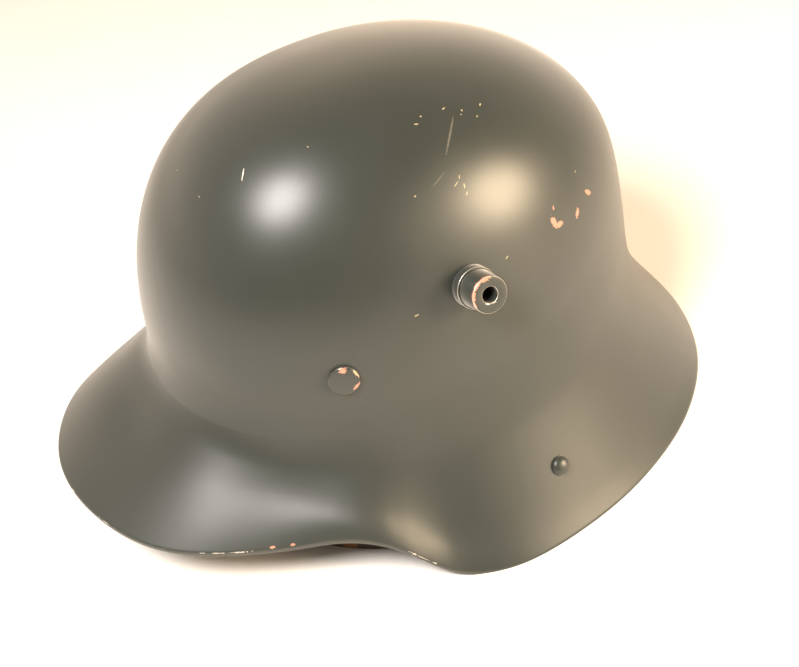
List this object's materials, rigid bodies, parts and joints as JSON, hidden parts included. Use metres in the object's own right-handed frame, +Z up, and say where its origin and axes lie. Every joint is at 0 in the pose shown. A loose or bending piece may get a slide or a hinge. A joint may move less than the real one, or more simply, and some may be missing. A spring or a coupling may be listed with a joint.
{
  "type": "steel helmet",
  "caption": "Deep steel combat helmet with a visor, flared skirt and neck guard, hollow vent lugs, flat liner rivets and a plain leather chin strap, in worn field-grey paint.",
  "frame": {"origin": "on the plane that the rim stands on, in the middle of the helmet's length and width", "axes": "+Z up through the crown, the visor towards -Y, the wearer's left at +X"},
  "size_m": [0.246, 0.3006, 0.178],
  "materials": {
    "field_grey_paint": "satin field-grey paint, worn to primer and bright steel on edges",
    "strap_leather": "plain brown leather with a waxed face"
  },
  "bodies": {
    "root": {"shell": "field_grey_paint", "vent_lug_left": "field_grey_paint", "vent_lug_right": "field_grey_paint", "liner_rivet_left": "field_grey_paint", "liner_rivet_right": "field_grey_paint", "liner_rivet_rear": "field_grey_paint", "chin_rivet_left": "field_grey_paint", "chin_rivet_right": "field_grey_paint", "chin_strap": "strap_leather"}
  },
  "joints": []
}
